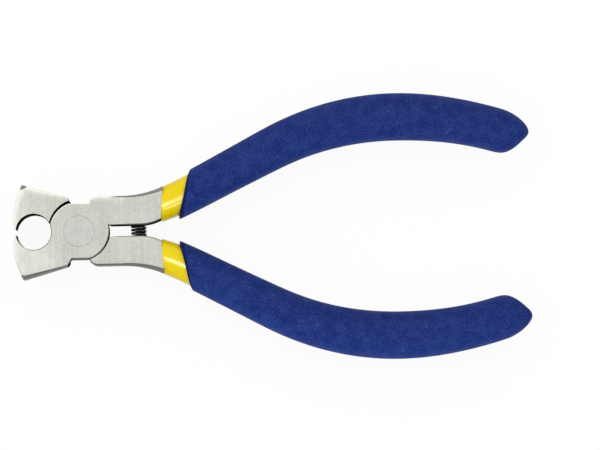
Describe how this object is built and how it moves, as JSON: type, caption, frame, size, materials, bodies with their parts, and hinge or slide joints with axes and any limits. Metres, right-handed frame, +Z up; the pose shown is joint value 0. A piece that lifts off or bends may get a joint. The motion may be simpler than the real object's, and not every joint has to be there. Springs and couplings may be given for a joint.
{
  "type": "end cutting nippers",
  "caption": "Small end cutting nippers: forged steel levers on a riveted lap joint, a round throat behind the cutting edges, a coil return spring and layered plastic grips that bow outwards.",
  "frame": {"origin": "centre of the footprint on the surface that the tool lies on", "axes": "+X along the tool, from the jaws to the handles' ends; +Z up along the rivet; +Y across, towards the upper handle"},
  "size_m": [0.1148, 0.059, 0.0104],
  "materials": {
    "ground_steel": "satin ground, fine marks across the tool",
    "rivet_steel": "ground flush with the joint",
    "spring_steel": "blackened spring wire",
    "sleeve_plastic": "glossy yellow dip",
    "grip_plastic": "matte blue foamed plastic"
  },
  "bodies": {
    "upper_half": {"upper_lever": "ground_steel", "pivot_rivet": "rivet_steel", "return_spring": "spring_steel", "upper_inner_sleeve": "sleeve_plastic", "upper_outer_grip": "grip_plastic"},
    "lower_half": {"lower_lever": "ground_steel", "lower_inner_sleeve": "sleeve_plastic", "lower_outer_grip": "grip_plastic"}
  },
  "joints": [
    {"name": "pivot", "type": "hinge", "parent": "upper_half", "child": "lower_half", "pos_m": [-0.04278, 0, 0.0052], "axis": [0, 0, -1], "range_deg": [-4.6, 20], "stiffness_Nm_per_rad": 0.6, "deforming": ["return_spring"]}
  ]
}
